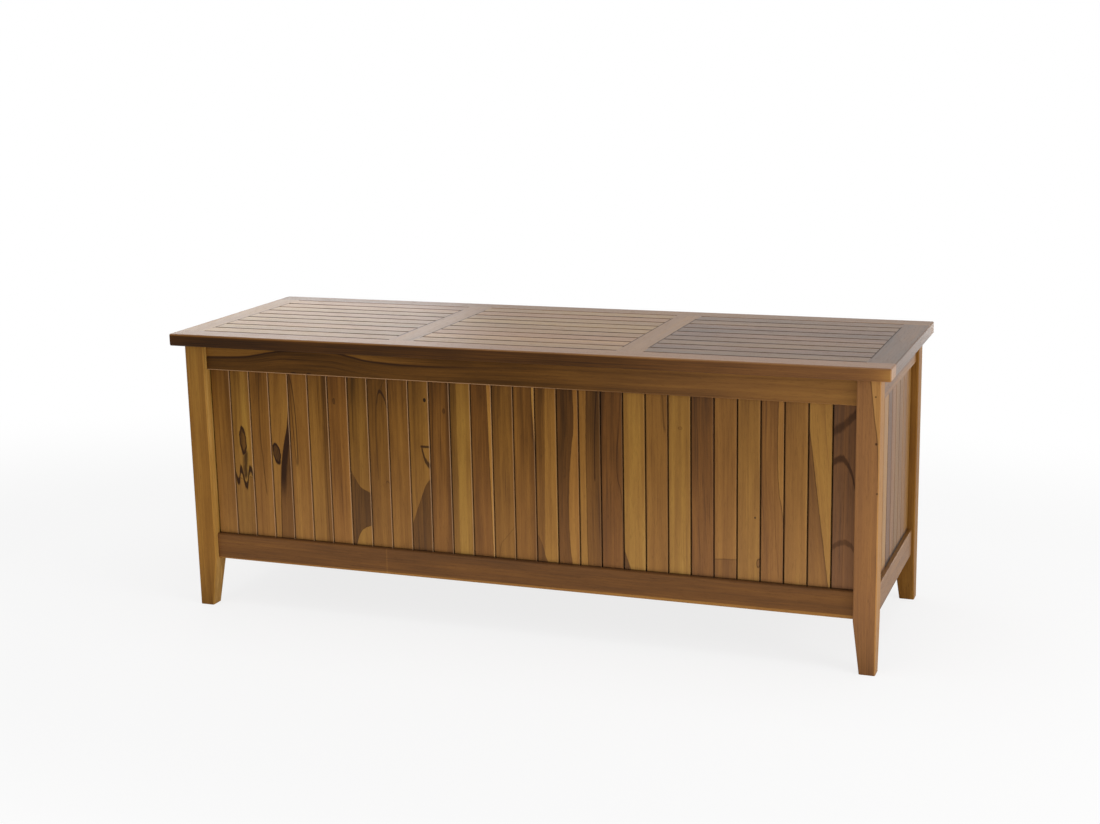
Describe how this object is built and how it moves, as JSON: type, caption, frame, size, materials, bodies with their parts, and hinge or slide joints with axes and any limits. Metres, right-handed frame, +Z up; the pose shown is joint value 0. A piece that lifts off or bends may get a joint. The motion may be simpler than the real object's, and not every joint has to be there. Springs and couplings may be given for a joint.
{
  "type": "garden storage chest",
  "caption": "Slatted hardwood garden storage chest on tapered legs, with a framed slatted lid on rear hinges and telescopic lid struts.",
  "frame": {"origin": "on the ground, under the middle of the closed lid", "axes": "+X along the chest to its right end, +Y from the front to the hinged rear, +Z up"},
  "size_m": [1.5, 0.5285, 0.595],
  "materials": {
    "frame_wood": "satin",
    "slat_wood": "satin",
    "floor_wood": "satin",
    "hinge_steel": "satin",
    "bracket_steel": "satin",
    "screw_steel": "satin",
    "strut_black": "satin",
    "strut_chrome": "polished"
  },
  "bodies": {
    "root": {"post_front_left": "frame_wood", "post_front_right": "frame_wood", "post_rear_left": "frame_wood", "post_rear_right": "frame_wood", "front_bottom_rail": "frame_wood", "front_top_rail": "frame_wood", "front_slats": "slat_wood", "rear_bottom_rail": "frame_wood", "rear_top_rail": "frame_wood", "rear_slats": "slat_wood", "left_bottom_rail": "frame_wood", "left_top_rail": "frame_wood", "left_slats": "slat_wood", "right_bottom_rail": "frame_wood", "right_top_rail": "frame_wood", "right_slats": "slat_wood", "front_floor_cleat": "floor_wood", "rear_floor_cleat": "floor_wood", "floor_boards": "floor_wood", "hinge_1_frame_leaf": "hinge_steel", "hinge_2_frame_leaf": "hinge_steel", "hinge_3_frame_leaf": "hinge_steel", "hinge_1_pin": "hinge_steel", "hinge_2_pin": "hinge_steel", "hinge_3_pin": "hinge_steel", "hinge_frame_screws": "screw_steel", "left_strut_post_bracket": "bracket_steel", "right_strut_post_bracket": "bracket_steel", "left_post_bracket_screws": "screw_steel", "right_post_bracket_screws": "screw_steel"},
    "lid": {"lid_front_rail": "frame_wood", "lid_rear_rail": "frame_wood", "lid_stile_1": "frame_wood", "lid_stile_2": "frame_wood", "lid_stile_3": "frame_wood", "lid_stile_4": "frame_wood", "lid_slats_1": "slat_wood", "lid_slats_2": "slat_wood", "lid_slats_3": "slat_wood", "hinge_1_lid_leaf": "hinge_steel", "hinge_2_lid_leaf": "hinge_steel", "hinge_3_lid_leaf": "hinge_steel", "hinge_lid_screws": "screw_steel", "left_strut_lid_bracket": "bracket_steel", "right_strut_lid_bracket": "bracket_steel", "left_lid_bracket_screws": "screw_steel", "right_lid_bracket_screws": "screw_steel"},
    "strut_cylinder_left": {"left_strut_cylinder": "strut_black"},
    "strut_rod_left": {"left_strut_rod": "strut_chrome"},
    "strut_cylinder_right": {"right_strut_cylinder": "strut_black"},
    "strut_rod_right": {"right_strut_rod": "strut_chrome"}
  },
  "joints": [
    {"name": "lid_hinge", "type": "hinge", "parent": "root", "child": "lid", "pos_m": [0, 0.2645, 0.57], "axis": [-1, 0, 0], "range_deg": [0, 95]},
    {"name": "strut_lower_pivot_left", "type": "hinge", "parent": "root", "child": "strut_cylinder_left", "pos_m": [-0.6732, 0.1745, 0.28382], "axis": [-1, 0, 0], "range_deg": [0, 47.5]},
    {"name": "strut_upper_pivot_left", "type": "hinge", "parent": "lid", "child": "strut_rod_left", "pos_m": [-0.6732, -0.03517, 0.556], "axis": [-1, 0, 0], "range_deg": [-47.5, 0]},
    {"name": "strut_lower_pivot_right", "type": "hinge", "parent": "root", "child": "strut_cylinder_right", "pos_m": [0.6732, 0.1745, 0.28382], "axis": [-1, 0, 0], "range_deg": [0, 47.5]},
    {"name": "strut_upper_pivot_right", "type": "hinge", "parent": "lid", "child": "strut_rod_right", "pos_m": [0.6732, -0.03517, 0.556], "axis": [-1, 0, 0], "range_deg": [-47.5, 0]}
  ],
  "couplings": [
    {"joint": "strut_lower_pivot_left", "follows": "lid_hinge", "ratio": 0.5},
    {"joint": "strut_upper_pivot_left", "follows": "lid_hinge", "ratio": -0.5},
    {"joint": "strut_lower_pivot_right", "follows": "lid_hinge", "ratio": 0.5},
    {"joint": "strut_upper_pivot_right", "follows": "lid_hinge", "ratio": -0.5}
  ]
}
